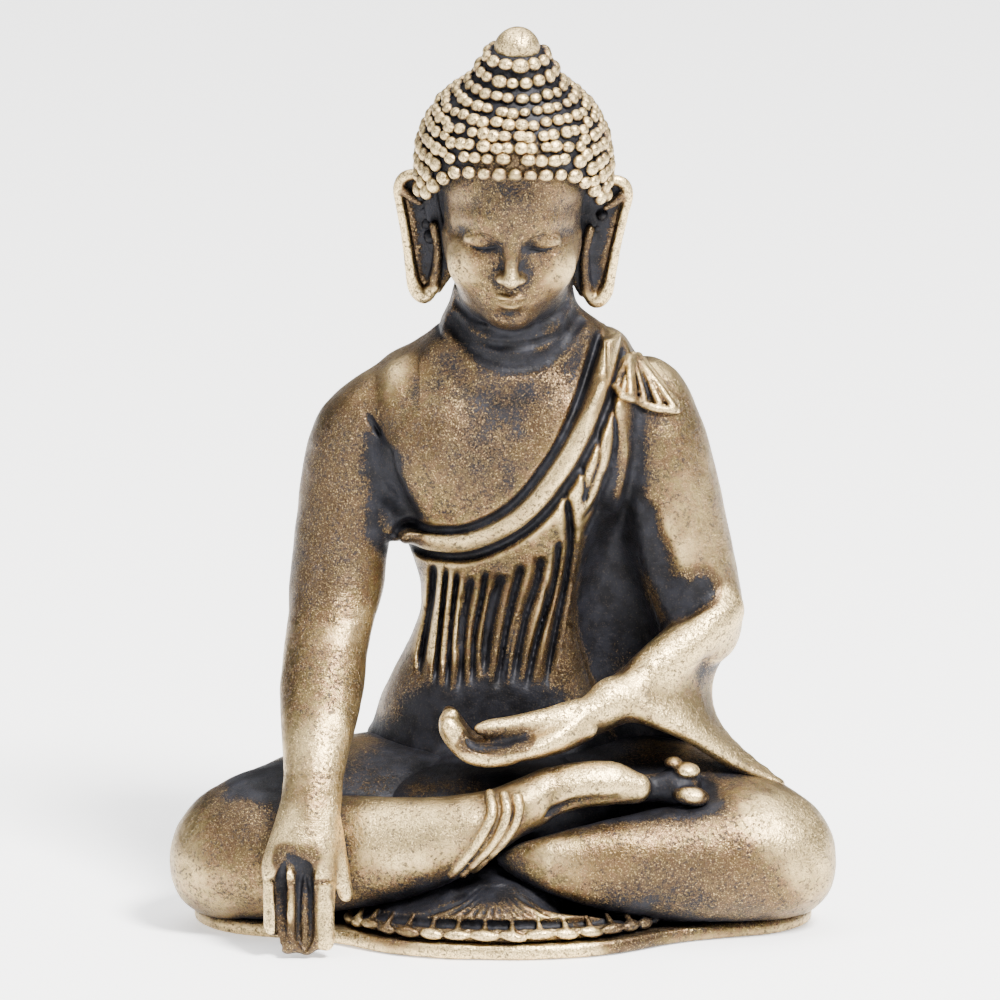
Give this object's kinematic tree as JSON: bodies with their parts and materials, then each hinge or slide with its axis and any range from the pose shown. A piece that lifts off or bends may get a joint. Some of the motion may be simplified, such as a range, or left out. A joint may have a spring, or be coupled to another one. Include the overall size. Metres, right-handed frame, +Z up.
{
  "type": "seated buddha statuette",
  "caption": "Small cast-brass statuette of a seated, cross-legged buddha in a pleated robe, right hand touching the ground, left hand in the lap, on a shaped base plate.",
  "frame": {"origin": "centre of the base plate's flat underside", "axes": "+Z up through the crown, the figure faces -Y, its right hand is on the -X side"},
  "size_m": [0.0364, 0.0234, 0.05],
  "materials": {
    "cast_brass": "worn satin brass with dark patina in the recesses",
    "robe_brass": "worn brass ridges over dark patina",
    "hair_brass": "dark patinated brass, worn bright on the tips of the curls",
    "pin_brass": "drawn brass, filed flush"
  },
  "bodies": {
    "root": {"base_plate": "cast_brass", "base_rivets": "pin_brass", "ground_cloth": "robe_brass", "seat": "cast_brass", "right_leg": "cast_brass", "left_leg": "cast_brass", "right_foot": "cast_brass", "torso": "cast_brass", "right_upper_arm": "cast_brass", "right_forearm": "cast_brass", "right_hand": "cast_brass", "left_upper_arm": "cast_brass", "left_forearm": "cast_brass", "left_hand": "cast_brass", "robe_sash": "robe_brass", "shoulder_pleat": "robe_brass", "side_panel": "robe_brass", "sleeve_drape": "robe_brass", "head": "cast_brass", "hair_cap": "hair_brass", "hair_curls": "hair_brass", "crown_jewel": "cast_brass", "right_ear": "cast_brass", "left_ear": "cast_brass", "dowels": "pin_brass"}
  },
  "joints": []
}
